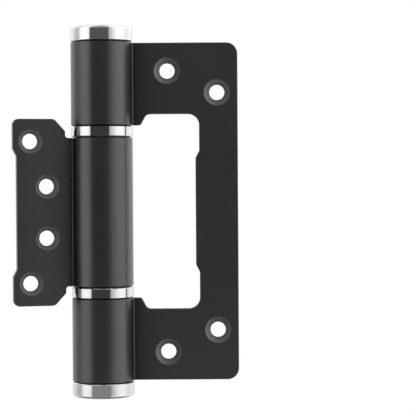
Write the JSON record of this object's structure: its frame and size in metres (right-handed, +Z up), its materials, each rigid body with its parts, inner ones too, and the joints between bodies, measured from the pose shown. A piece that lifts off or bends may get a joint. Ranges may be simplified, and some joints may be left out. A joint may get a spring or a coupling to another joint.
{
  "type": "hydraulic door hinge",
  "caption": "Self-closing non-mortise door hinge with a nesting leaf, a spring and cam in its barrel, an oil damper with a needle valve, and countersunk black leaves.",
  "frame": {"origin": "centre of the mouth of the lower cap's access hole, on the pivot axis", "axes": "+Z up the pivot axis towards the upper cap, +X from the axis towards the frame leaf's outer edge, +Y out of the frame leaf's back face"},
  "size_m": [0.0925, 0.0254, 0.1524],
  "materials": {
    "black_coat": "satin black powder coat",
    "polished_steel": "polished stainless steel",
    "ground_steel": "turned and ground steel",
    "spring_steel": "oiled spring steel",
    "zinc_steel": "zinc-plated screw steel",
    "bronze": "sintered bearing bronze",
    "nylon": "natural nylon",
    "seal_rubber": "nitrile rubber"
  },
  "bodies": {
    "frame_leaf": {"frame_leaf_plate": "black_coat", "upper_knuckle": "black_coat", "lower_knuckle": "black_coat", "upper_cap": "polished_steel", "lower_cap": "polished_steel", "upper_bearing_ring": "polished_steel", "lower_bearing_ring": "polished_steel", "upper_thrust_washer": "nylon", "lower_thrust_washer": "nylon", "upper_pivot_sleeve": "ground_steel", "cam_spindle": "ground_steel", "closing_spring": "spring_steel", "force_plug": "ground_steel", "rod_gland": "ground_steel", "gland_seal": "seal_rubber", "rod_seal": "seal_rubber", "damper_liner": "ground_steel", "valve_body": "ground_steel", "valve_body_seal": "seal_rubber"},
    "door_leaf": {"door_leaf_plate": "black_coat", "middle_knuckle": "black_coat", "guide_sleeve": "ground_steel", "upper_journal_bush": "bronze", "lower_journal_bush": "bronze"},
    "plunger": {"plunger_rod": "ground_steel", "cross_pin": "ground_steel", "spring_rest_washer": "zinc_steel", "piston": "ground_steel", "piston_seal": "seal_rubber", "piston_clip": "spring_steel", "check_ball": "ground_steel"},
    "force_seat": {"force_seat": "zinc_steel"},
    "force_screw": {"force_screw": "zinc_steel"},
    "speed_seal": {"speed_seal": "seal_rubber"},
    "speed_screw": {"speed_screw": "zinc_steel"}
  },
  "joints": [
    {"name": "leaf_swing", "type": "hinge", "parent": "frame_leaf", "child": "door_leaf", "pos_m": [0, 0, 0.0762], "axis": [0, 0, 1], "range_deg": [-16, 164]},
    {"name": "plunger_stroke", "type": "slide", "parent": "door_leaf", "child": "plunger", "axis": [0, 0, 1], "range_m": [-0.01093, 0.00107], "deforming": ["closing_spring"]},
    {"name": "force_seat_travel", "type": "slide", "parent": "frame_leaf", "child": "force_seat", "axis": [0, 0, 1], "range_m": [-0.001, 0.001], "deforming": ["closing_spring"]},
    {"name": "force_screw_turn", "type": "hinge", "parent": "force_seat", "child": "force_screw", "pos_m": [0, 0, 0.1349], "axis": [0, 0, 1], "range_deg": [-360.5, 360.5]},
    {"name": "speed_seal_travel", "type": "slide", "parent": "frame_leaf", "child": "speed_seal", "axis": [0, 0, 1], "range_m": [-0.0005, 0.0005]},
    {"name": "speed_screw_turn", "type": "hinge", "parent": "speed_seal", "child": "speed_screw", "pos_m": [0, 0, 0.0098], "axis": [0, 0, 1], "range_deg": [-360.5, 360.5]}
  ],
  "couplings": [
    {"joint": "plunger_stroke", "follows": "leaf_swing", "m_per_rad": -0.0038197},
    {"joint": "force_screw_turn", "follows": "force_seat_travel", "rad_per_m": 6283.2},
    {"joint": "speed_screw_turn", "follows": "speed_seal_travel", "rad_per_m": 12566}
  ]
}
